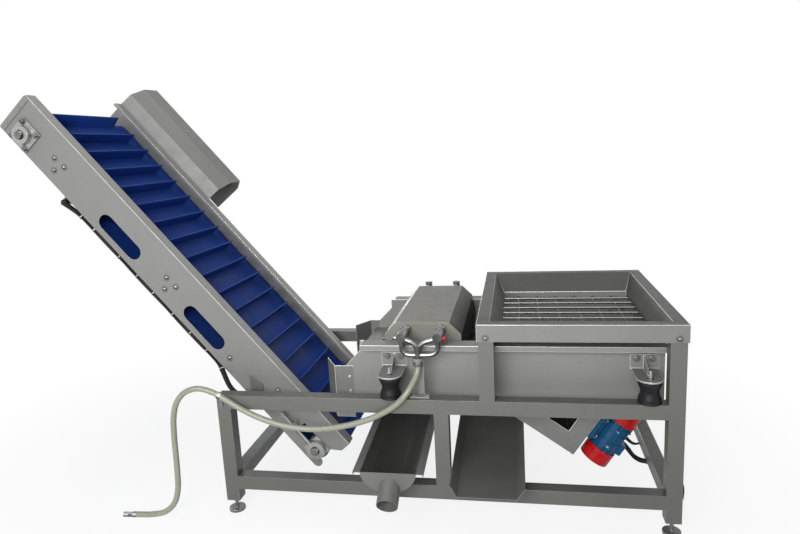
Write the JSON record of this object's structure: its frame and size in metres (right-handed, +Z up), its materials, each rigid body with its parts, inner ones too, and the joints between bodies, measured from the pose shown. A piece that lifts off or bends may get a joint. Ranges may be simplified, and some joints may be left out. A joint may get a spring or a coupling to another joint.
{
  "type": "date washing machine",
  "caption": "Stainless date washer: feed hopper over a vibrating perforated tray with spray hood, drain trough and chute, and an inclined cleated-belt elevator.",
  "frame": {"origin": "middle of the machine's outline, at floor level", "axes": "+X along the machine from the elevator head to the hopper, +Y away from the operator side, +Z up"},
  "size_m": [2.911, 1.3484, 1.9476],
  "materials": {
    "sheet_stainless": "bead-blasted stainless sheet",
    "frame_stainless": "satin stainless tube",
    "hood_stainless": "brushed stainless sheet",
    "bright_stainless": "polished stainless",
    "cast_housing": "cast housing",
    "blue_belt": "blue moulded belt with cleats",
    "blue_enamel": "blue enamel",
    "red_enamel": "red enamel",
    "black_rubber": "black rubber",
    "pale_hose": "pale braided hose"
  },
  "bodies": {
    "machine_frame": {"front_side_frame": "frame_stainless", "rear_side_frame": "frame_stainless", "left_lower_cross_rail": "frame_stainless", "right_lower_cross_rail": "frame_stainless", "hopper": "sheet_stainless", "hopper_screen": "bright_stainless", "rubber_spring_front_left": "black_rubber", "rubber_spring_front_right": "black_rubber", "rubber_spring_rear_left": "black_rubber", "rubber_spring_rear_right": "black_rubber", "spray_hood": "hood_stainless", "hood_curtain": "black_rubber", "spray_bar_left": "bright_stainless", "spray_bar_right": "bright_stainless", "water_manifold": "bright_stainless", "front_stay": "sheet_stainless", "rear_stay": "sheet_stainless", "feed_hose": "pale_hose", "hose_clamp": "bright_stainless", "hose_clip": "bright_stainless", "hose_coupling": "bright_stainless", "drain_trough": "sheet_stainless", "discharge_chute": "sheet_stainless", "elevator_side_near": "sheet_stainless", "elevator_side_far": "sheet_stainless", "elevator_belt": "blue_belt", "slider_bed": "sheet_stainless", "head_bearing_near": "cast_housing", "head_bearing_far": "cast_housing", "gearmotor": "blue_enamel", "drive_cover": "sheet_stainless", "cable_conduit": "sheet_stainless", "cable_bundle": "black_rubber"},
    "vibrating_tray": {"tray": "sheet_stainless", "tray_deck": "bright_stainless", "motor_base": "sheet_stainless", "spring_bracket_front_left": "sheet_stainless", "spring_bracket_front_right": "sheet_stainless", "spring_bracket_rear_left": "sheet_stainless", "spring_bracket_rear_right": "sheet_stainless", "infeed_guard_front": "sheet_stainless", "infeed_guard_rear": "sheet_stainless", "motor_front_body": "blue_enamel", "motor_front_lower_cap": "red_enamel", "motor_front_upper_cap": "red_enamel", "motor_rear_body": "blue_enamel", "motor_rear_lower_cap": "red_enamel", "motor_rear_upper_cap": "red_enamel"},
    "front_motor_rotor": {"motor_front_rotor": "cast_housing"},
    "rear_motor_rotor": {"motor_rear_rotor": "cast_housing"},
    "head_drum": {"head_drum": "bright_stainless"},
    "take_up": {"take_up_near": "cast_housing", "take_up_far": "cast_housing"},
    "tail_drum": {"tail_drum": "bright_stainless"},
    "left_valve_handle": {"valve_handle_left": "bright_stainless"},
    "right_valve_handle": {"valve_handle_right": "red_enamel"},
    "front_left_foot": {"foot_front_left": "bright_stainless"},
    "front_right_foot": {"foot_front_right": "bright_stainless"},
    "rear_left_foot": {"foot_rear_left": "bright_stainless"},
    "rear_right_foot": {"foot_rear_right": "bright_stainless"}
  },
  "joints": [
    {"name": "tray_throw", "type": "slide", "parent": "machine_frame", "child": "vibrating_tray", "axis": [-0.8387, 0, 0.5446], "range_m": [-0.003, 0.003], "stiffness_N_per_m": 400000, "springref_m": 0.0022, "deforming": ["rubber_spring_front_left", "rubber_spring_front_right", "rubber_spring_rear_left", "rubber_spring_rear_right"]},
    {"name": "front_motor_spin", "type": "hinge", "parent": "vibrating_tray", "child": "front_motor_rotor", "pos_m": [1.20154, -0.17982, 0.28581], "axis": [0.5446, 0, 0.8387], "continuous": true},
    {"name": "rear_motor_spin", "type": "hinge", "parent": "vibrating_tray", "child": "rear_motor_rotor", "pos_m": [1.20154, 0.22018, 0.28581], "axis": [0.5446, 0, 0.8387], "continuous": true},
    {"name": "head_drum_spin", "type": "hinge", "parent": "machine_frame", "child": "head_drum", "pos_m": [-1.3326, 0.02018, 1.69628], "axis": [0, 1, 0], "continuous": true},
    {"name": "belt_take_up", "type": "slide", "parent": "machine_frame", "child": "take_up", "axis": [-0.6488, 0, 0.761], "range_m": [0, 0.04]},
    {"name": "tail_drum_spin", "type": "hinge", "parent": "take_up", "child": "tail_drum", "pos_m": [-0.09342, 0.02018, 0.24283], "axis": [0, 1, 0], "continuous": true},
    {"name": "left_valve_turn", "type": "hinge", "parent": "machine_frame", "child": "left_valve_handle", "pos_m": [0.3162, -0.44782, 0.799], "axis": [1, 0, 0], "range_deg": [0, 90]},
    {"name": "right_valve_turn", "type": "hinge", "parent": "machine_frame", "child": "right_valve_handle", "pos_m": [0.5162, -0.44782, 0.799], "axis": [1, 0, 0], "range_deg": [0, 90]},
    {"name": "front_left_foot_turn", "type": "hinge", "parent": "machine_frame", "child": "front_left_foot", "pos_m": [-0.4438, -0.45982, 0.03], "axis": [0, 0, 1], "continuous": true},
    {"name": "front_right_foot_turn", "type": "hinge", "parent": "machine_frame", "child": "front_right_foot", "pos_m": [1.3962, -0.45982, 0.03], "axis": [0, 0, 1], "continuous": true},
    {"name": "rear_left_foot_turn", "type": "hinge", "parent": "machine_frame", "child": "rear_left_foot", "pos_m": [-0.4438, 0.50018, 0.03], "axis": [0, 0, 1], "continuous": true},
    {"name": "rear_right_foot_turn", "type": "hinge", "parent": "machine_frame", "child": "rear_right_foot", "pos_m": [1.3962, 0.50018, 0.03], "axis": [0, 0, 1], "continuous": true}
  ],
  "couplings": [
    {"joint": "rear_motor_spin", "follows": "front_motor_spin", "ratio": -1},
    {"joint": "tail_drum_spin", "follows": "head_drum_spin", "ratio": 1}
  ]
}
